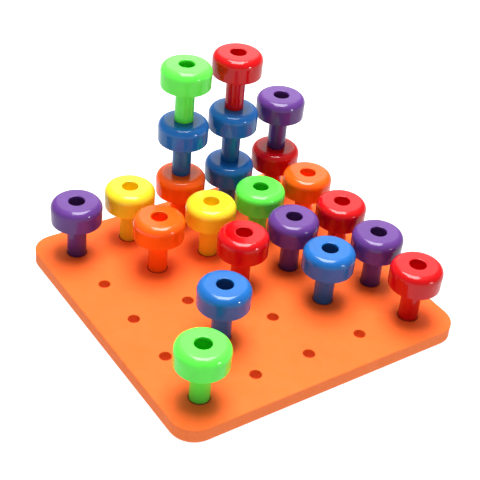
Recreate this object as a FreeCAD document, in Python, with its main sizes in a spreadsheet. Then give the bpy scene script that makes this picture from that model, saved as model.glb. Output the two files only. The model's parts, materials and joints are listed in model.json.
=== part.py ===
import FreeCAD, Part
import math
import os

import Sketcher
from FreeCAD import Vector

# A square foam board with a grid of through holes, and moulded pegs that stand in the holes and stack on
# each other. Millimetres. +Z is up, and the origin is the centre of the board's underside.
# Columns a to e run along +X and rows 1 to 5 along +Y, so hole a1 has the lowest X and Y.

COLUMNS = "abcde"
ROWS = "12345"

# The pegs on each hole that is in use, from the board upwards. Every other hole is empty.
STACKS = {
    "a1": ["green"],
    "a5": ["purple"],
    "b2": ["blue"],
    "b4": ["orange"],
    "b5": ["yellow"],
    "c3": ["red"],
    "c4": ["yellow"],
    "c5": ["orange", "blue", "green"],
    "d2": ["blue"],
    "d3": ["purple"],
    "d4": ["green"],
    "d5": ["blue", "blue", "red"],
    "e1": ["red"],
    "e2": ["purple"],
    "e3": ["red"],
    "e4": ["orange"],
    "e5": ["red", "purple"],
}
LEVEL_NAMES = {1: [""], 2: ["_base", "_top"], 3: ["_base", "_middle", "_top"]}

# Alias, value and meaning of each driving dimension.
SIZES = (
    ("board_side", 210.0, "side of the square board"),
    ("board_thickness", 9.5, "thickness of the foam"),
    ("board_corner", 16.0, "radius of the board's rounded corners, seen from above"),
    ("board_rim", 0.5, "rounding of the board's upper and lower outer edges"),
    ("hole_pitch", 40.0, "distance between neighbouring holes"),
    ("open_hole", 7.8, "diameter of an empty hole, with the foam relaxed"),
    ("head_diameter", 34.4, "diameter of a peg's head at its widest, where the crown meets the skirt"),
    ("head_height", 16.0, "height of a peg's head"),
    ("crown_radius", 5.2, "rounding of the crown, the head's top edge"),
    ("skirt_foot", 34.0, "diameter of the drafted skirt at the underside of the head"),
    ("skirt_radius", 0.8, "rounding of the skirt's bottom edge"),
    ("stem_diameter", 13.0, "diameter of the stem"),
    ("root_radius", 0.8, "fillet between the stem and the underside of the head"),
    ("peg_rise", 41.7, "height from a peg's shoulder to the top of its head"),
    ("tip_diameter", 10.8, "diameter of the tip that plugs in"),
    ("tip_length", 9.0, "length of the tip below the shoulder"),
    ("tip_chamfer", 0.8, "lead-in at the end of the tip"),
    ("tip_gap", 0.05, "radial gap round a tip in its hole or socket"),
    ("socket_depth", 11.0, "depth of the socket in a head"),
    ("socket_lip", 0.6, "rounding of the socket's mouth"),
)

SHEET = "Sizes"
FITTED_HOLE = f"{SHEET}.tip_diameter + 2 * {SHEET}.tip_gap"

# Sketcher's own numbers for a sketch's axes and for the points of its geometry.
HORIZONTAL_AXIS = -1
VERTICAL_AXIS = -2
START_POINT = 1
END_POINT = 2
CENTRE_POINT = 3

# The corner of a peg's profile where the crown starts.
CROWN_START = 6

THROUGH_ALL = 1
TOLERANCE = 1e-4


def make_sheet(doc):
    sheet = doc.addObject("Spreadsheet::Sheet", SHEET)
    for line, (alias, value, meaning) in enumerate(SIZES, start=1):
        sheet.set(f"A{line}", meaning)
        sheet.set(f"B{line}", str(value))
        sheet.setAlias(f"B{line}", alias)
    doc.recompute()
    return sheet


def make_body(doc, name):
    body = doc.addObject("PartDesign::Body", name)
    body.Label = name
    return body


def make_sketch(body, name, role):
    """A sketch on one of the body's own origin planes."""
    sketch = body.newObject("Sketcher::SketchObject", f"{body.Name}_{name}")
    plane = next(item for item in body.Origin.OriginFeatures if item.Role == role)
    sketch.AttachmentSupport = [(plane, "")]
    sketch.MapMode = "FlatFace"
    return sketch


def hold_point(sketch, geometry, point, x_rule, y_rule):
    """Hold a point at its distances from the origin. A rule of None keeps it on that axis."""
    for kind, rule, axis in (
        ("DistanceX", x_rule, VERTICAL_AXIS),
        ("DistanceY", y_rule, HORIZONTAL_AXIS),
    ):
        if rule is None:
            sketch.addConstraint(Sketcher.Constraint("PointOnObject", geometry, point, axis))
        else:
            value = sketch.evalExpression(rule)
            number = sketch.addConstraint(Sketcher.Constraint(kind, geometry, point, value))
            sketch.setExpression(f"Constraints[{number}]", rule)


def bind_size(sketch, kind, geometry, rule):
    """Bind the radius or diameter of a piece of geometry to the sheet."""
    value = sketch.evalExpression(rule)
    number = sketch.addConstraint(Sketcher.Constraint(kind, geometry, value))
    sketch.setExpression(f"Constraints[{number}]", rule)


def rule_value(sketch, rule):
    return 0.0 if rule is None else sketch.evalExpression(rule)


def quarter_round(start, end):
    """The quarter circle that leaves start upwards and meets end, which is above and to the left."""
    radius = end.y - start.y
    circle = Part.Circle(Vector(end.x, start.y, 0), Vector(0, 0, 1), radius)
    return Part.ArcOfCircle(circle, 0, math.pi / 2)


def draw_outline(sketch, corners, rounded=None):
    """A closed outline through corners that are pairs of sheet rules.

    Its stretches are straight, apart from those that rounded maps from the number of their first corner
    to the sheet rule of their radius.
    """
    rounded = rounded or {}
    points = [Vector(rule_value(sketch, x), rule_value(sketch, y), 0) for x, y in corners]
    stretches = []
    for number, (start, end) in enumerate(zip(points, points[1:] + points[:1])):
        curve = quarter_round(start, end) if number in rounded else Part.LineSegment(start, end)
        stretches.append(sketch.addGeometry(curve, False))
    for stretch, following in zip(stretches, stretches[1:] + stretches[:1]):
        sketch.addConstraint(
            Sketcher.Constraint("Coincident", stretch, END_POINT, following, START_POINT)
        )
    for stretch, (x_rule, y_rule) in zip(stretches, corners):
        hold_point(sketch, stretch, START_POINT, x_rule, y_rule)
    for number, rule in rounded.items():
        bind_size(sketch, "Radius", stretches[number], rule)


def draw_circle(sketch, x_rule, y_rule, diameter_rule):
    centre = Vector(rule_value(sketch, x_rule), rule_value(sketch, y_rule), 0)
    diameter = sketch.evalExpression(diameter_rule)
    circle = sketch.addGeometry(Part.Circle(centre, Vector(0, 0, 1), diameter / 2), False)
    bind_size(sketch, "Diameter", circle, diameter_rule)
    hold_point(sketch, circle, CENTRE_POINT, x_rule, y_rule)


def add_feature(body, kind, name, **settings):
    feature = body.newObject(f"PartDesign::{kind}", f"{body.Name}_{name}")
    for setting, value in settings.items():
        setattr(feature, setting, value)
    return feature


def finish_feature(body, feature, rules):
    """Bind a feature's sizes to the sheet, make it the body's tip and build it."""
    for setting, rule in rules.items():
        feature.setExpression(setting, rule)
    body.Tip = feature
    body.Document.recompute()
    return feature


def cut(body, feature, rules):
    """Finish a feature that removes material, and make sure that it did."""
    before = body.Shape.Volume
    finish_feature(body, feature, rules)
    if body.Shape.Volume > before - TOLERANCE:
        raise RuntimeError(f"{feature.Name} cut nothing")
    return feature


def edge_names(shape, wanted):
    return [f"Edge{n}" for n, edge in enumerate(shape.Edges, start=1) if wanted(edge)]


def near(value, target):
    return abs(value - target) < TOLERANCE


def ease_edges(body, kind, name, wanted, rules):
    """A fillet or chamfer on every edge of the body's tip that is wanted."""
    edges = edge_names(body.Tip.Shape, wanted)
    if not edges:
        raise RuntimeError(f"{body.Name}_{name} found no edge")
    feature = add_feature(body, kind, name, Base=(body.Tip, edges))
    return finish_feature(body, feature, rules)


def ring_at(radius, height):
    """Picks the round edge of this radius about the body's own axis at this height."""

    def wanted(edge):
        round_edge = isinstance(edge.Curve, Part.Circle)
        return (
            round_edge
            and near(edge.Curve.Radius, radius)
            and near(edge.BoundBox.ZMin, height)
            and near(edge.BoundBox.ZMax, height)
        )

    return wanted


def steps_from_centre(hole):
    """How many pitches a hole lies from the board's centre along X and along Y."""
    column, row = hole
    return COLUMNS.index(column) - len(COLUMNS) // 2, ROWS.index(row) - len(ROWS) // 2


def pitch_rule(steps):
    return None if steps == 0 else f"{SHEET}.hole_pitch * {steps}"


def drill_board(body, name, holes, diameter_rule):
    sketch = make_sketch(body, f"{name}_layout", "XY_Plane")
    for hole in holes:
        along_x, along_y = steps_from_centre(hole)
        draw_circle(sketch, pitch_rule(along_x), pitch_rule(along_y), diameter_rule)
    # The board stands on the sketch's plane, so the holes are cut upwards.
    pocket = add_feature(body, "Pocket", name, Profile=sketch, Type=THROUGH_ALL, Reversed=True)
    cut(body, pocket, {})


def make_board(doc, sheet):
    body = make_body(doc, "foam_peg_board")
    half = f"{SHEET}.board_side / 2"
    sketch = make_sketch(body, "outline", "XY_Plane")
    draw_outline(
        sketch,
        [(f"-{half}", f"-{half}"), (half, f"-{half}"), (half, half), (f"-{half}", half)],
    )
    slab = add_feature(body, "Pad", "slab", Profile=sketch)
    finish_feature(body, slab, {"Length": f"{SHEET}.board_thickness"})

    def upright(edge):
        return near(edge.BoundBox.ZLength, sheet.board_thickness)

    def level(edge):
        return near(edge.BoundBox.ZLength, 0)

    ease_edges(body, "Fillet", "corners", upright, {"Radius": f"{SHEET}.board_corner"})
    ease_edges(body, "Fillet", "rims", level, {"Radius": f"{SHEET}.board_rim"})

    holes = [column + row for column in COLUMNS for row in ROWS]
    empty = [hole for hole in holes if hole not in STACKS]
    drill_board(body, "empty_holes", empty, f"{SHEET}.open_hole")
    drill_board(body, "peg_holes", list(STACKS), FITTED_HOLE)
    return body


def turn_peg(body):
    """The tip, stem and head as one turned profile, with the shoulder at height 0."""
    tip = f"{SHEET}.tip_diameter / 2"
    stem = f"{SHEET}.stem_diameter / 2"
    head = f"{SHEET}.head_diameter / 2"
    foot = f"-{SHEET}.tip_length"
    underside = f"{SHEET}.peg_rise - {SHEET}.head_height"
    top = f"{SHEET}.peg_rise"
    crown = f"{SHEET}.crown_radius"
    sketch = make_sketch(body, "profile", "XZ_Plane")
    draw_outline(
        sketch,
        [
            (None, foot),
            (tip, foot),
            (tip, None),
            (stem, None),
            (stem, underside),
            (f"{SHEET}.skirt_foot / 2", underside),
            (head, f"{top} - {crown}"),
            (f"{head} - {crown}", top),
            (None, top),
        ],
        rounded={CROWN_START: crown},
    )
    turned = add_feature(body, "Revolution", "turned", Profile=sketch)
    turned.ReferenceAxis = (sketch, ["V_Axis"])
    finish_feature(body, turned, {})


def bore_socket(body):
    sketch = make_sketch(body, "socket_mouth", "XY_Plane")
    sketch.setExpression("AttachmentOffset.Base.z", f"{SHEET}.peg_rise")
    draw_circle(sketch, None, None, FITTED_HOLE)
    socket = add_feature(body, "Pocket", "socket", Profile=sketch)
    cut(body, socket, {"Length": f"{SHEET}.socket_depth"})


def ease_peg(body, sheet):
    """Round the skirt, the stem's root and the socket's mouth, and give the tip its lead-in."""
    top = sheet.peg_rise
    underside = sheet.peg_rise - sheet.head_height
    socket = sheet.tip_diameter / 2 + sheet.tip_gap
    fillets = (
        ("skirt", sheet.skirt_foot / 2, underside, "skirt_radius"),
        ("root", sheet.stem_diameter / 2, underside, "root_radius"),
        ("lip", socket, top, "socket_lip"),
    )
    for name, radius, height, alias in fillets:
        ease_edges(body, "Fillet", name, ring_at(radius, height), {"Radius": f"{SHEET}.{alias}"})
    foot = ring_at(sheet.tip_diameter / 2, -sheet.tip_length)
    ease_edges(body, "Chamfer", "lead_in", foot, {"Size": f"{SHEET}.tip_chamfer"})


def make_peg(doc, sheet, name, hole, level):
    """One peg, seated on the board (level 0) or on the peg below it."""
    body = make_body(doc, name)
    turn_peg(body)
    bore_socket(body)
    ease_peg(body, sheet)
    along_x, along_y = steps_from_centre(hole)
    body.setExpression(".Placement.Base.x", f"{SHEET}.hole_pitch * {along_x}")
    body.setExpression(".Placement.Base.y", f"{SHEET}.hole_pitch * {along_y}")
    seat = f"{SHEET}.board_thickness + {SHEET}.peg_rise * {level}"
    body.setExpression(".Placement.Base.z", seat)
    return body


def make_pegs(doc, sheet):
    pegs = []
    for hole, colours in STACKS.items():
        suffixes = LEVEL_NAMES[len(colours)]
        for level, (colour, suffix) in enumerate(zip(colours, suffixes)):
            pegs.append(make_peg(doc, sheet, f"{colour}_peg_{hole}{suffix}", hole, level))
    return pegs


def check_document(doc, bodies):
    for item in doc.Objects:
        if "Invalid" in item.State or "Error" in item.State:
            raise RuntimeError(f"{item.Label} failed: {item.State}")
    for body in bodies:
        shape = body.Shape
        if shape.isNull() or not shape.isValid() or len(shape.Solids) != 1:
            raise RuntimeError(f"{body.Label} isn't one valid solid")


def main():
    doc = FreeCAD.newDocument("peg_board")
    sheet = make_sheet(doc)
    bodies = [make_board(doc, sheet)] + make_pegs(doc, sheet)
    doc.recompute()
    check_document(doc, bodies)
    os.makedirs("parts", exist_ok=True)
    for body in bodies:
        body.Shape.exportStep(f"parts/{body.Label}.step")
    print(f"{len(bodies)} parts written")


main()
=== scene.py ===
import json
import math

import bmesh
import bpy
from mathutils import Matrix, Vector, noise


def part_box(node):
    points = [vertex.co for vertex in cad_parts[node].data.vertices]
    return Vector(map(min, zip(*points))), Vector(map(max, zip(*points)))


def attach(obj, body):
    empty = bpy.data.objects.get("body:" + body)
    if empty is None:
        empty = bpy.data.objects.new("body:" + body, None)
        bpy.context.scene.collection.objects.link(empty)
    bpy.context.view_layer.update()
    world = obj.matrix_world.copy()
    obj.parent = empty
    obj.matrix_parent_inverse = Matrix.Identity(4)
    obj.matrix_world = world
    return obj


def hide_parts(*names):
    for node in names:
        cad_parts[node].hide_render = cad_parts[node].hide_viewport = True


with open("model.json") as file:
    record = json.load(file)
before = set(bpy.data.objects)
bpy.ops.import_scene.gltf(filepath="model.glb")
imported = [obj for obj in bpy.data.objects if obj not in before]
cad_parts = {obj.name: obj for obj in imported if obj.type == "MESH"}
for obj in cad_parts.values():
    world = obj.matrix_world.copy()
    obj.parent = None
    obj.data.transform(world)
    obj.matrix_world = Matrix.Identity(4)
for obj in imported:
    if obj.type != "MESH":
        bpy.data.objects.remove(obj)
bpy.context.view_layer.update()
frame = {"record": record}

MM = 0.001
BOARD = "foam_peg_board"

# Sizes of a peg that its box and the record's mounts don't give, in millimetres.
TIP_LENGTH = 9.0
TIP_CHAMFER = 0.8
TIP_GAP = 0.05
GATE_RADIUS = 1.2
GATE_DEPTH = 0.25
STEM_RADIUS = 6.5
SHOULDER_EDGE = 0.35
HEAD_HEIGHT = 16.0
ROOT_FILLET = 0.8
SKIRT_FOOT_RADIUS = 17.0
SKIRT_EDGE = 0.8
CROWN_RADIUS = 5.2
PARTING_STEP = 0.04
SOCKET_LIP = 0.6
SOCKET_DEPTH = 11.0
SOCKET_FLOOR_FILLET = 0.4
PEG_SEGMENTS = 96

# The foam sheet, in millimetres.
CORNER_RADIUS = 16.0
RIM_ROUNDING = 0.5
RIM_HOLLOW = 0.15
HOLE_LIP = 0.35
CREASE_DEPTH = 0.45
CELL_MARGIN = 8.0
CELL_SIDE_STEPS = 24
RELIEF_REACH = 5.0
UNDULATION = 0.06
UNDULATION_SIZE = 45.0

# Points of the sheet's upper face, as distance outwards and height above it. A seated peg's shoulder presses
# a crease round its stem and the foam swells beyond it. Round an empty hole the face is raised a little.
ROUND_A_STEM = (
    (-0.55, -0.18),
    (-0.1, -CREASE_DEPTH),
    (0.25, -CREASE_DEPTH),
    (0.6, -0.05),
    (1.6, 0.14),
    (2.8, 0.08),
)
ROUND_A_HOLE = ((1.0, 0.05), (2.5, 0.03))

SHARP_ANGLE = math.radians(38)

# Where a peg's mesh marks painted shade for its material, and between which places, in millimetres, each mark
# grows
# from 0 to 1: depths below the head's top in the socket, and heights above the shoulder at the foot of the
# stem.
SOCKET_SHADE_MARK = "in_socket"
FOOT_SHADE_MARK = "at_foot"
SOCKET_SHADE_DEPTHS = (0.3, 2.5)
FOOT_SHADE_HEIGHTS = (13.0, 0.0)
WALL_MARGIN = 0.1

# The viewing direction of the camera, its roll, and where its axis crosses the upper face of the board.
CAMERA_AZIMUTH = math.radians(-36.19)
CAMERA_ELEVATION = math.radians(35.89)
CAMERA_ROLL = math.radians(-5.39)
CAMERA_DISTANCE = 0.8010
CAMERA_AIM = Vector((0.02684, 0.04032, 0.0))
CAMERA_LENS = 85.51
CAMERA_CLIP = (0.01, 50.0)

# Linear colours: the body of the plastic, the paler tone of its worn edges, and the share of the body's colour
# that painted shade keeps inside a socket, where light bounces about. The last number is what painted shade
# keeps at the foot of a stem.
PLASTICS = {
    "green_plastic": ((0.122, 0.95, 0.078), (0.28, 0.97, 0.20), (0.15, 0.55, 0.12), 0.88),
    "blue_plastic": ((0.0102, 0.132, 0.44), (0.05, 0.26, 0.66), (1.2, 0.42, 0.44), 0.7),
    "red_plastic": ((0.59, 0.0020, 0.004), (0.80, 0.05, 0.06), (1.12, 0.50, 1.2), 0.95),
    "purple_plastic": ((0.112, 0.036, 0.226), (0.23, 0.11, 0.38), (0.58, 0.54, 0.50), 0.5),
    "yellow_plastic": ((0.94, 0.65, 0.022), (1.0, 0.80, 0.12), (1.0, 1.0, 0.25), 0.95),
    "orange_plastic": ((0.98, 0.109, 0.003), (1.0, 0.24, 0.04), (0.97, 0.75, 1.0), 1.0),
}
FOAM_TOP = (0.97, 0.149, 0.022)
FOAM_TOP_DEEP = (0.96, 0.140, 0.020)
FOAM_SIDE = (0.99, 0.212, 0.049)
# The wall of a hole, darker and redder than the outer side: painted shade inside the holes.
FOAM_HOLE_SHADED = (0.84, 0.114, 0.007)

# The patterns in the plastic. Scales are in cycles to the metre, heights in metres, and a pair named NOISE
# holds the noise values between which a pattern sets in.
PATTERN_SHIFT = 7.0
CLOUD_SCALE, CLOUD_SHADES = 55.0, (0.90, 1.06)
WORN_POINTINESS = (0.515, 0.56)
WEAR_SCALE, WEAR_NOISE, WEAR_AMOUNT = 260.0, (0.45, 0.65), 0.55
SCUFF_SCALES, SCUFF_NOISE, SCUFF_HEIGHT = (30.0, 900.0, 160.0), (0.66, 0.72), 0.000012
SMUDGE_SCALE, SMUDGE_NOISE, GLOSS = 120.0, (0.35, 0.7), (0.09, 0.17)
MARKS_ROUGHNESS = 0.12
PEEL_SCALE, PEEL_HEIGHT = 420.0, 0.000006
PLASTIC_IOR, PLASTIC_SPECULAR = 1.5, 0.34
GLOW_THROUGH, GLOW_THROUGH_DEPTH = 0.08, 0.0015

# The patterns in the foam. A number named UPRIGHT says how squarely a face looks up where a tone sets in.
BLOTCH_SCALE, BLOTCH_NOISE = 22.0, (0.35, 0.65)
CELL_SCALE, SKIN_CELL_HEIGHT, CUT_CELL_HEIGHT = 1300.0, 0.00008, 0.00022
GRAIN_SCALE, GRAIN_HEIGHT, GRAIN_SHADES = 2600.0, 0.00008, (0.93, 1.04)
CUT_UPRIGHT = (0.85, 0.35)
CREASE_UPRIGHT = 0.6
# Painted shade in the crease round a stem: the depth below the skin where it starts, and the share of colour
# it keeps.
CREASE_SHADE_START, CREASE_SHADE_TONE = 0.12, 0.30
MATTE_SCALE, MATTE = 160.0, (0.62, 0.82)
FOAM_IOR, FOAM_SPECULAR = 1.45, 0.25

# What the studio's walls show, by direction from the camera's own side: azimuth, elevation, the angles within
# which a wall is at its brightest and outside which it ends, in degrees, and its radiance.
WALLS = {
    "back_wall": (180, 34, 12, 30, 1.75),
    "ceiling": (180, 80, 20, 45, 0.70),
}

# The walls' paint, the glow of the whole room, and the strength of the white backdrop that the camera sees.
WALL_PAINT = (0.8, 0.8, 0.8, 1.0)
ROOM_GLOW = 0.43
BACKDROP = 1.25

# The lamps, by direction from the camera's own side: azimuth, elevation, distance, width, height, radiance.
SOFTBOX = (180, 82, 1.25, 0.64, 0.90, 14.6)
WINDOW = (61, 14, 1.1, 0.12, 0.14, 58.0)

# The paper under the board: its shade and glow to the camera, and its glow in reflections.
FLOOR_RADIUS = 12.0
PAPER = (0.5, 0.5, 0.5, 1.0)
PAPER_GLOW = 0.75
FLOOR_GLOW = 1.25
PAPER_SCALE, PAPER_SHADES = 3.0, (0.97, 1.03)


# ---------------------------------------------------------------- outlines and meshes


def arc(centre_r, centre_z, radius, start, end, steps):
    """Points of an arc in a lathe profile. Angles in degrees: 0 points outwards and 90 points up."""
    angles = [math.radians(start + (end - start) * i / steps) for i in range(steps + 1)]
    return [(centre_r + radius * math.cos(a), centre_z + radius * math.sin(a)) for a in angles]


def along(start, end, shares):
    """Points of a straight line, at the given shares of the way from its start to its end."""
    return [tuple(a + (b - a) * share for a, b in zip(start, end)) for share in shares]


def soft_chamfer(r, z, size):
    """A chamfer with softened edges, from a flat end at height z up to a wall of radius r."""
    reach, near, slight = size * 1.2, size * 0.9, size * 0.08
    return [(r - reach, z), (r - near, z + slight), (r - slight, z + near), (r, z + reach)]


def mesh_object(name, bm):
    """An object made of a finished bmesh, with its faces outwards and smooth apart from its sharp edges."""
    bmesh.ops.recalc_face_normals(bm, faces=bm.faces)
    for face in bm.faces:
        face.smooth = True
    for edge in bm.edges:
        if len(edge.link_faces) == 2 and edge.calc_face_angle() > SHARP_ANGLE:
            edge.smooth = False
    mesh = bpy.data.meshes.new(name)
    bm.to_mesh(mesh)
    bm.free()
    obj = bpy.data.objects.new(name, mesh)
    bpy.context.scene.collection.objects.link(obj)
    return obj


def lathe(profile, segments):
    """A closed surface of revolution about Z. The profile runs from axis to axis, in millimetres."""
    bm = bmesh.new()
    turns = [2 * math.pi * i / segments for i in range(segments)]
    rings = []
    for r, z in profile:
        angles = turns if r > 0 else [0.0]
        rings.append([bm.verts.new(Vector((r * math.cos(a), r * math.sin(a), z)) * MM) for a in angles])
    for lower, upper in zip(rings, rings[1:]):
        for i in range(segments):
            j = (i + 1) % segments
            if len(lower) == 1:
                bm.faces.new((lower[0], upper[i], upper[j]))
            elif len(upper) == 1:
                bm.faces.new((lower[i], lower[j], upper[0]))
            else:
                bm.faces.new((lower[i], lower[j], upper[j], upper[i]))
    return bm


# ---------------------------------------------------------------- pegs


def tip_profile(tip):
    """From the middle of a tip's end, with the mark of the moulding's gate, up its wall to the shoulder."""
    foot = -TIP_LENGTH
    gate = [(0, foot + GATE_DEPTH), (GATE_RADIUS * 0.7, foot + GATE_DEPTH)]
    gate += [(GATE_RADIUS, foot + GATE_DEPTH * 0.4), (GATE_RADIUS * 1.1, foot)]
    wall = soft_chamfer(tip, foot, TIP_CHAMFER) + [(tip, foot / 2)]
    neck = arc(tip + SHOULDER_EDGE, -SHOULDER_EDGE, SHOULDER_EDGE, 180, 90, 4)
    return gate + wall + neck


def stem_profile(underside):
    """From the shoulder up the stem to the underside of the head."""
    shoulder = arc(STEM_RADIUS - SHOULDER_EDGE, SHOULDER_EDGE, SHOULDER_EDGE, -90, 0, 4)
    stem = along((STEM_RADIUS, 0), (STEM_RADIUS, underside), (0.04, 0.25, 0.5, 0.75))
    root = arc(STEM_RADIUS + ROOT_FILLET, underside - ROOT_FILLET, ROOT_FILLET, 180, 90, 6)
    return shoulder + stem + root


def head_profile(head_radius, rise, socket_radius):
    """From the underside of the head round its skirt and crown to its flat top."""
    underside = rise - HEAD_HEIGHT
    parting = rise - CROWN_RADIUS
    draft = math.degrees(math.atan2(head_radius - SKIRT_FOOT_RADIUS, HEAD_HEIGHT - CROWN_RADIUS))
    below = [((STEM_RADIUS + SKIRT_FOOT_RADIUS) / 2, underside)]
    edge = arc(SKIRT_FOOT_RADIUS - SKIRT_EDGE, underside + SKIRT_EDGE, SKIRT_EDGE, -90, -draft, 8)
    skirt = along(edge[-1], (head_radius, parting), (0.05, 0.35, 0.65, 0.95, 1.0))
    step = [(head_radius + PARTING_STEP, parting + PARTING_STEP)]
    crown = arc(head_radius - CROWN_RADIUS, parting, CROWN_RADIUS, 3, 90, 22)
    flat = [(head_radius - CROWN_RADIUS * 1.15, rise), (socket_radius + SOCKET_LIP * 3, rise)]
    return below + edge + skirt + step + crown + flat


def socket_profile(rise, radius):
    """From the lip of the socket down its wall to the middle of its floor."""
    floor = rise - SOCKET_DEPTH
    fillet = SOCKET_FLOOR_FILLET
    lip = arc(radius + SOCKET_LIP, rise - SOCKET_LIP, SOCKET_LIP, 90, 180, 8)
    wall = along((radius, rise), (radius, floor), (0.13, 0.23, 0.45, 0.7))
    corner = arc(radius - fillet, floor + fillet, fillet, 0, -90, 5)
    return lip + wall + corner + [(radius * 0.4, floor), (0, floor)]


def peg_profile(head_radius, rise, socket_radius):
    """The outline of one moulded peg, from the end of its tip round to the floor of its socket."""
    lower = tip_profile(socket_radius - TIP_GAP) + stem_profile(rise - HEAD_HEIGHT)
    return lower + head_profile(head_radius, rise, socket_radius) + socket_profile(rise, socket_radius)


def growth(value, start, end):
    """How far a value is from start to end, held between 0 and 1."""
    return max(0.0, min(1.0, (value - start) / (end - start)))


def mark(mesh, name, weigh):
    """A number from 0 to 1 for each vertex, which the mesh keeps for its material."""
    numbers = mesh.attributes.new(name, "FLOAT", "POINT").data
    for vert, number in zip(mesh.vertices, numbers):
        number.value = weigh(math.hypot(vert.co.x, vert.co.y) / MM, vert.co.z / MM)


def mark_peg_shade(mesh, rise, socket_radius):
    """Marks where shade is painted: inside a peg's socket, from its lip down, and at the foot of its stem."""

    # Painted shade in the socket, growing from the lip downwards.
    def in_socket(radius, height):
        if height < rise / 2:
            return 0.0
        within = growth(radius, socket_radius + SOCKET_LIP, socket_radius + WALL_MARGIN)
        return within * growth(rise - height, *SOCKET_SHADE_DEPTHS)

    mark(mesh, SOCKET_SHADE_MARK, in_socket)
    # Painted shade at the foot of the stem, growing towards the shoulder.
    mark(mesh, FOOT_SHADE_MARK, lambda radius, height: growth(height, *FOOT_SHADE_HEIGHTS))


def peg_place(node):
    """The centre of a peg's shoulder, its head's radius and the height of its head, from its CAD box."""
    low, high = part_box(node)
    seat = Vector(((low.x + high.x) / 2, (low.y + high.y) / 2, low.z + TIP_LENGTH * MM))
    return seat, (high.x - low.x) / 2, high.z - seat.z


def make_peg(node, material, socket_radius):
    seat, head_radius, rise = peg_place(node)
    profile = peg_profile(head_radius / MM, rise / MM, socket_radius)
    peg = mesh_object(f"{node}_moulding", lathe(profile, PEG_SEGMENTS))
    mark_peg_shade(peg.data, rise / MM, socket_radius)
    peg.location = seat
    peg.data.materials.append(material)
    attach(peg, node)
    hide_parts(node)
    return peg


# ---------------------------------------------------------------- foam board


def square_loop(left, right, near, far, steps):
    """Points round a rectangle, steps to a side, anticlockwise from its left near corner."""
    corners = [(left, near), (right, near), (right, far), (left, far)]
    shares = [i / steps for i in range(steps)]
    sides = zip(corners, corners[1:] + corners[:1])
    return [point for start, end in sides for point in along(start, end, shares)]


def hole_section(radius, has_peg, thickness):
    """The sheet's section from below to above round a hole: distance from the hole's centre, height."""
    lip = HOLE_LIP
    below = [(radius + reach, 0) for reach in (RELIEF_REACH, 2.5, 1.0, lip)]
    wall = [(radius + lip * 0.3, lip * 0.3), (radius, lip)]
    wall += [(radius, thickness * 0.33), (radius, thickness * 0.66), (radius, thickness - lip)]
    if has_peg:
        above = [(radius + lip * 0.3, thickness - lip * 0.5)]
        above += [(STEM_RADIUS + out, thickness + up) for out, up in ROUND_A_STEM]
    else:
        above = [(radius + lip * 0.3, thickness - lip * 0.3), (radius + lip, thickness)]
        above += [(radius + out, thickness + up) for out, up in ROUND_A_HOLE]
    return below + wall + above + [(radius + RELIEF_REACH, thickness)]


def join_columns(bm, columns):
    """Faces between neighbouring columns of points round a closed loop."""
    strips = [[bm.verts.new(Vector(point) * MM) for point in column] for column in columns]
    for left, right in zip(strips, strips[1:] + strips[:1]):
        for i in range(len(left) - 1):
            bm.faces.new((left[i], right[i], right[i + 1], left[i + 1]))


def add_cell(bm, centre, bounds, section, thickness):
    """One rectangle of the sheet, through which its hole passes."""
    loop = square_loop(*bounds, CELL_SIDE_STEPS)
    outer_radius = section[0][0]
    columns = []
    for number, point in enumerate(loop):
        angle = 2 * math.pi * number / len(loop) - 0.75 * math.pi
        way = (math.cos(angle), math.sin(angle))
        rim = (centre[0] + outer_radius * way[0], centre[1] + outer_radius * way[1])
        between = along(point, rim, (0, 0.25, 0.5, 0.75))
        column = [(x, y, 0) for x, y in between]
        column += [(centre[0] + r * way[0], centre[1] + r * way[1], z) for r, z in section]
        column += [(x, y, thickness) for x, y in reversed(between)]
        columns.append(column)
    join_columns(bm, columns)


def add_rim(bm, half, loop, thickness):
    """The margin outside the cells, with the sheet's rounded corners and its cut edge."""
    inner = half - CORNER_RADIUS
    edge = RIM_ROUNDING
    start = CORNER_RADIUS - edge * 3
    section = [(start, 0)] + arc(CORNER_RADIUS - edge, edge, edge, -90, 0, 4)
    for share in (0.25, 0.5, 0.75):
        hollow = RIM_HOLLOW * math.sin(math.pi * share)
        section.append((CORNER_RADIUS - hollow, edge + (thickness - 2 * edge) * share))
    section += arc(CORNER_RADIUS - edge, thickness - edge, edge, 0, 90, 4) + [(start, thickness)]
    columns = []
    for x, y in loop:
        anchor = Vector((max(-inner, min(inner, x)), max(-inner, min(inner, y))))
        way = (Vector((x, y)) - anchor).normalized()
        edge_points = [(anchor.x + way.x * d, anchor.y + way.y * d, z) for d, z in section]
        columns.append([(x, y, 0)] + edge_points + [(x, y, thickness)])
    join_columns(bm, columns)


def cell_lines(places, half):
    """The lines between cells: half-way between holes, and a margin inside the sheet's edge."""
    middles = [(a + b) / 2 for a, b in zip(places, places[1:])]
    return [CELL_MARGIN - half] + middles + [half - CELL_MARGIN]


def cells_outline(lines):
    """Points round the outside of all cells, at the same places as the points of the cells' own sides."""
    shares = [i / CELL_SIDE_STEPS for i in range(CELL_SIDE_STEPS)]
    steps = [a + (b - a) * share for a, b in zip(lines, lines[1:]) for share in shares]
    edge = lines[-1]
    near_and_right = [(s, -edge) for s in steps] + [(edge, s) for s in steps]
    return near_and_right + [(-x, -y) for x, y in near_and_right]


def undulate(bm, above):
    """The slight waviness of the sheet's upper face."""
    for vert in bm.verts:
        if vert.co.z > above:
            place = Vector((vert.co.x, vert.co.y, 0)) / (UNDULATION_SIZE * MM)
            vert.co.z += UNDULATION * MM * noise.noise(place)


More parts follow.
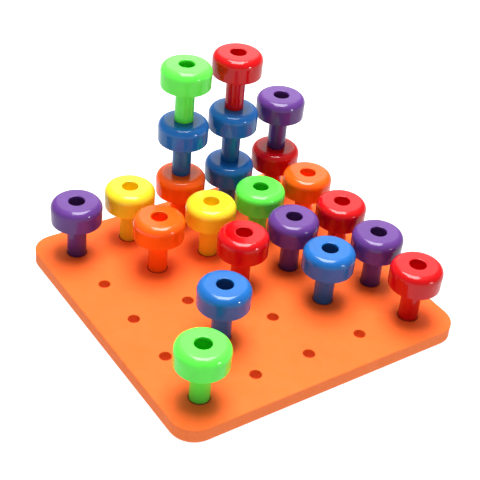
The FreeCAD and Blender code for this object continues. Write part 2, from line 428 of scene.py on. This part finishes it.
def make_board(holes, material):
    """The foam sheet. holes maps each hole's place, in millimetres, to its radius and whether it has a peg."""
    low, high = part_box(BOARD)
    half = (high.x - low.x) / 2 / MM
    thickness = (high.z - low.z) / MM
    places = sorted({x for x, _ in holes})
    lines = cell_lines(places, half)
    bm = bmesh.new()
    for column, x in enumerate(places):
        for row, y in enumerate(places):
            bounds = (lines[column], lines[column + 1], lines[row], lines[row + 1])
            section = hole_section(*holes[(x, y)], thickness)
            add_cell(bm, (x, y), bounds, section, thickness)
    add_rim(bm, half, cells_outline(lines), thickness)
    bmesh.ops.remove_doubles(bm, verts=bm.verts, dist=0.001 * MM)
    undulate(bm, thickness * MM * 0.9)
    board = mesh_object(f"{BOARD}_sheet", bm)
    board.data.materials.append(material)
    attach(board, BOARD)
    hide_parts(BOARD)
    return board


# ---------------------------------------------------------------- materials


class Nodes:
    """Short calls to build a node tree."""

    def __init__(self, tree):
        self.tree = tree
        self.tree.nodes.clear()

    def add(self, kind, inputs=None, **settings):
        node = self.tree.nodes.new(kind)
        for name, value in settings.items():
            setattr(node, name, value)
        for name, value in (inputs or {}).items():
            self.feed(node.inputs[name], value)
        return node

    def feed(self, socket, value):
        if isinstance(value, bpy.types.NodeSocket):
            self.tree.links.new(value, socket)
        else:
            socket.default_value = value

    def combine(self, kind, operation, terms):
        """A node whose operation takes the terms as its inputs, in their order."""
        node = self.add(kind, operation=operation)
        for socket, term in zip(node.inputs, terms):
            self.feed(socket, term)
        return node

    def math(self, operation, *terms):
        return self.combine("ShaderNodeMath", operation, terms).outputs["Value"]

    def vector_math(self, operation, *terms):
        return self.combine("ShaderNodeVectorMath", operation, terms).outputs["Vector"]

    def scale(self, colour, factor):
        node = self.combine("ShaderNodeVectorMath", "SCALE", (colour,))
        self.feed(node.inputs["Scale"], factor)
        return node.outputs["Vector"]

    def part(self, vector, axis):
        return self.add("ShaderNodeSeparateXYZ", {"Vector": vector}).outputs[axis]

    def noise(self, vector, scale, detail=2.0, roughness=0.5):
        inputs = {"Vector": vector, "Scale": scale, "Detail": detail, "Roughness": roughness}
        return self.add("ShaderNodeTexNoise", inputs).outputs["Fac"]

    def map_range(self, value, low, high, to_low=0.0, to_high=1.0):
        inputs = {"Value": value, "From Min": low, "From Max": high, "To Min": to_low, "To Max": to_high}
        return self.add("ShaderNodeMapRange", inputs).outputs["Result"]

    def spread(self, value, to_low, to_high):
        """A noise, most of which lies from 0.3 to 0.7, spread over a range."""
        return self.map_range(value, 0.3, 0.7, to_low, to_high)

    def mix(self, factor, first, second):
        node = self.add("ShaderNodeMix", {"Factor": factor}, data_type="RGBA")
        self.feed(node.inputs["A"], first)
        self.feed(node.inputs["B"], second)
        return node.outputs["Result"]

    def mark(self, name):
        return self.add("ShaderNodeAttribute", attribute_name=name).outputs["Fac"]

    def bump(self, height, distance, normal=None):
        inputs = {"Height": height, "Distance": distance}
        if normal is not None:
            inputs["Normal"] = normal
        return self.add("ShaderNodeBump", inputs).outputs["Normal"]

    def surface(self, inputs):
        """A Principled shader as the material's surface."""
        shader = self.add("ShaderNodeBsdfPrincipled", inputs)
        self.add("ShaderNodeOutputMaterial", {"Surface": shader.outputs["BSDF"]})


def opaque(colour):
    return (*colour, 1.0)


def new_material(name):
    material = bpy.data.materials.new(name)
    material.use_nodes = True
    return material, Nodes(material.node_tree)


def plastic(name, tones):
    """Glossy moulded plastic: cloudy colour, faint orange peel, hairline scuffs, smudges, pale worn edges, and
    painted shade inside the socket and at the foot of the stem.
    """
    body, worn, socket_shade_kept, foot_shade_kept = tones
    material, n = new_material(name)
    own = n.add("ShaderNodeTexCoord").outputs["Object"]
    shift = n.math("MULTIPLY", n.add("ShaderNodeObjectInfo").outputs["Random"], PATTERN_SHIFT)
    place = n.vector_math("ADD", own, shift)

    # Painted shade inside the socket: the body's colour darkened and deepened there, standing for the light
    # that bounces about in it.
    socket_shaded = [tone * kept for tone, kept in zip(body, socket_shade_kept)]
    base = n.mix(n.mark(SOCKET_SHADE_MARK), opaque(body), opaque(socket_shaded))
    clouds = n.spread(n.noise(place, CLOUD_SCALE, 3.0), *CLOUD_SHADES)
    # Painted shade: the stem grows darker towards its foot, where shade falls.
    foot = n.map_range(n.mark(FOOT_SHADE_MARK), 0.0, 1.0, 1.0, foot_shade_kept)
    shaded = n.scale(base, n.math("MULTIPLY", clouds, foot))

    edges = n.map_range(n.add("ShaderNodeNewGeometry").outputs["Pointiness"], *WORN_POINTINESS)
    patches = n.map_range(n.noise(place, WEAR_SCALE, 4.0), *WEAR_NOISE)
    wear = n.math("MULTIPLY", edges, patches)
    colour = n.mix(n.math("MULTIPLY", wear, WEAR_AMOUNT), shaded, opaque(worn))

    streaks = n.noise(n.vector_math("MULTIPLY", place, SCUFF_SCALES), 1.0)
    scuffs = n.map_range(streaks, *SCUFF_NOISE)
    smudges = n.map_range(n.noise(place, SMUDGE_SCALE, 3.0), *SMUDGE_NOISE, *GLOSS)
    marks = n.math("MULTIPLY", n.math("ADD", scuffs, wear), MARKS_ROUGHNESS)
    peel = n.bump(n.noise(place, PEEL_SCALE, 1.0), PEEL_HEIGHT)
    inputs = {"Base Color": colour, "Roughness": n.math("ADD", smudges, marks)}
    inputs["Normal"] = n.bump(scuffs, SCUFF_HEIGHT, peel)
    inputs |= {"IOR": PLASTIC_IOR, "Specular IOR Level": PLASTIC_SPECULAR}
    inputs |= {"Subsurface Weight": GLOW_THROUGH, "Subsurface Scale": GLOW_THROUGH_DEPTH}
    inputs["Subsurface Radius"] = (1.0, 1.0, 1.0)
    n.surface(inputs)
    return material


def foam(name, half, thickness):
    """Matte closed-cell foam: a fine cell grain, blotches in the colour, an open grain on cut faces, and
    painted shade in the creases round stems and on the walls of holes.
    """
    material, n = new_material(name)
    own = n.add("ShaderNodeTexCoord").outputs["Object"]
    normal = n.add("ShaderNodeNewGeometry").outputs["Normal"]
    margin = CELL_MARGIN * MM

    # Which colour a place has: the skin above and below, the outer side, or the wall of a hole, which is
    # darker and redder as painted shade.
    reach = n.math("MAXIMUM", *(n.math("ABSOLUTE", n.part(own, axis)) for axis in "XY"))
    outside = n.map_range(reach, half - margin, half - margin / 2)
    upright = n.part(normal, "Z")
    cut = n.map_range(n.math("ABSOLUTE", upright), *CUT_UPRIGHT)
    blotches = n.map_range(n.noise(own, BLOTCH_SCALE, 4.0, 0.6), *BLOTCH_NOISE)
    skin = n.mix(blotches, opaque(FOAM_TOP), opaque(FOAM_TOP_DEEP))
    side = n.mix(outside, opaque(FOAM_HOLE_SHADED), opaque(FOAM_SIDE))

    # Painted shade in the crease that a shoulder presses into the skin.
    top, bottom = thickness - CREASE_SHADE_START * MM, thickness - CREASE_DEPTH * MM
    below_skin = n.map_range(n.part(own, "Z"), top, bottom)
    in_crease = n.math("MULTIPLY", below_skin, n.math("GREATER_THAN", upright, CREASE_UPRIGHT))
    crease = n.map_range(in_crease, 0.0, 1.0, 1.0, CREASE_SHADE_TONE)

    grain = n.noise(own, GRAIN_SCALE)
    shade = n.math("MULTIPLY", crease, n.spread(grain, *GRAIN_SHADES))
    cells = n.add("ShaderNodeTexVoronoi", {"Vector": own, "Scale": CELL_SCALE}).outputs["Distance"]
    cell_height = n.map_range(cut, 0.0, 1.0, SKIN_CELL_HEIGHT, CUT_CELL_HEIGHT)
    inputs = {"Base Color": n.scale(n.mix(cut, skin, side), shade)}
    inputs["Roughness"] = n.spread(n.noise(own, MATTE_SCALE, 3.0), *MATTE)
    inputs["Normal"] = n.bump(cells, cell_height, n.bump(grain, GRAIN_HEIGHT))
    inputs |= {"IOR": FOAM_IOR, "Specular IOR Level": FOAM_SPECULAR}
    n.surface(inputs)
    return material


# ---------------------------------------------------------------- studio


def direction(azimuth, elevation):
    """A unit vector. Azimuth 0 points along -Y and 90 along +X; both angles in radians."""
    level = math.cos(elevation)
    return Vector((math.sin(azimuth) * level, -math.cos(azimuth) * level, math.sin(elevation)))


def seen_from_camera(azimuth, elevation):
    """A direction given in degrees from the camera's own side: azimuth 90 is to its right."""
    return direction(CAMERA_AZIMUTH + math.radians(azimuth), math.radians(elevation))


def make_floor():
    """A pale paper floor. It is white to the camera, apart from a faint shadow, and dimmer in reflections."""
    bm = bmesh.new()
    bmesh.ops.create_circle(bm, cap_ends=True, segments=128, radius=FLOOR_RADIUS)
    floor = mesh_object("studio_floor", bm)
    material, n = new_material("studio_paper")
    place = n.add("ShaderNodeTexCoord").outputs["Object"]
    tone = n.spread(n.noise(place, PAPER_SCALE), *PAPER_SHADES)
    glow = n.add("ShaderNodeEmission", {"Strength": n.math("MULTIPLY", tone, FLOOR_GLOW)})
    paper = {"Base Color": PAPER, "Roughness": 0.9, "Specular IOR Level": 0.1}
    paper |= {"Emission Color": (1.0, 1.0, 1.0, 1.0), "Emission Strength": PAPER_GLOW}
    shown = n.add("ShaderNodeBsdfPrincipled", paper)
    seen = n.add("ShaderNodeLightPath").outputs["Is Camera Ray"]
    either = n.add("ShaderNodeMixShader", {"Fac": seen})
    n.feed(either.inputs[1], glow.outputs["Emission"])
    n.feed(either.inputs[2], shown.outputs["BSDF"])
    n.add("ShaderNodeOutputMaterial", {"Surface": either.outputs["Shader"]})
    floor.data.materials.append(material)


def area_light(name, azimuth, elevation, distance, width, height, radiance):
    """A rectangular soft box that looks back at the object. Radiance is what its face shows."""
    way = seen_from_camera(azimuth, elevation)
    data = bpy.data.lights.new(name, "AREA")
    data.shape = "RECTANGLE"
    data.size = width
    data.size_y = height
    data.energy = radiance * width * height * math.pi
    lamp = bpy.data.objects.new(name, data)
    lamp.location = way * distance
    lamp.rotation_mode = "QUATERNION"
    lamp.rotation_quaternion = way.to_track_quat("Z", "Y")
    bpy.context.scene.collection.objects.link(lamp)
    return lamp


def make_lights():
    area_light("overhead_softbox", *SOFTBOX)
    window = area_light("low_window", *WINDOW)
    window.visible_diffuse = False


def make_world():
    """The studio's walls and ceiling as reflections and light show them, and plain white to the camera."""
    world = bpy.data.worlds.new("studio")
    world.use_nodes = True
    bpy.context.scene.world = world
    n = Nodes(world.node_tree)
    way = n.add("ShaderNodeTexCoord").outputs["Generated"]
    strength = ROOM_GLOW
    for azimuth, elevation, inner, outer, radiance in WALLS.values():
        middle = seen_from_camera(azimuth, elevation)
        facing = n.combine("ShaderNodeVectorMath", "DOT_PRODUCT", (way, middle)).outputs["Value"]
        edge, heart = math.cos(math.radians(outer)), math.cos(math.radians(inner))
        strength = n.math("ADD", strength, n.map_range(facing, edge, heart, 0.0, radiance))
    shown = n.add("ShaderNodeLightPath").outputs["Is Camera Ray"]
    either = n.add("ShaderNodeMix", {"Factor": shown, "A": strength, "B": BACKDROP}, data_type="FLOAT")
    light = n.add("ShaderNodeBackground", {"Color": WALL_PAINT, "Strength": either.outputs["Result"]})
    n.add("ShaderNodeOutputWorld", {"Surface": light.outputs["Background"]})


def make_camera(top):
    """The camera, whose axis crosses the upper face of the board, at the height top, at its aim."""
    data = bpy.data.cameras.new("camera")
    data.lens = CAMERA_LENS
    data.clip_start, data.clip_end = CAMERA_CLIP
    camera = bpy.data.objects.new("camera", data)
    back = direction(CAMERA_AZIMUTH, CAMERA_ELEVATION)
    right = Vector((0, 0, 1)).cross(back).normalized()
    up = back.cross(right)
    tilted_right = right * math.cos(CAMERA_ROLL) - up * math.sin(CAMERA_ROLL)
    tilted_up = back.cross(tilted_right)
    aim = CAMERA_AIM + Vector((0, 0, top))
    rotation = Matrix((tilted_right, tilted_up, back)).transposed()
    camera.matrix_world = Matrix.Translation(aim + back * CAMERA_DISTANCE) @ rotation.to_4x4()
    bpy.context.scene.collection.objects.link(camera)
    bpy.context.scene.camera = camera


def set_view():
    view = bpy.context.scene.view_settings
    view.view_transform = "Standard"
    view.look = "None"
    view.exposure = 0.0
    view.gamma = 1.0


# ---------------------------------------------------------------- assembly


def key(position):
    """A hole's place in the board, in millimetres, rounded so that pegs and mounts agree on it."""
    return tuple(round(value / MM, 1) for value in position[:2])


def main():
    record = frame["record"]
    slots = {part["node"]: part["material_slot"] for part in record["subparts"]}
    mounts = {mount["name"]: mount for mount in record["mounts"]}
    socket_radius = next(m["dims"]["r_mm"] for name, m in mounts.items() if name.startswith("peg_socket"))
    empty = [mount for name, mount in mounts.items() if name.startswith("empty_hole")]
    materials = {name: plastic(name, tones) for name, tones in PLASTICS.items()}
    holes = {key(mount["pos_m"]): (mount["dims"]["r_mm"], False) for mount in empty}
    for node in sorted(set(slots) - {BOARD}):
        peg = make_peg(node, materials[slots[node]], socket_radius)
        holes[key(peg_place(node)[0])] = (socket_radius, True)
    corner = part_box(BOARD)[1]
    board = make_board(holes, foam(slots[BOARD], corner.x, corner.z))
    make_floor()
    make_world()
    make_lights()
    make_camera(corner.z)
    set_view()


main()
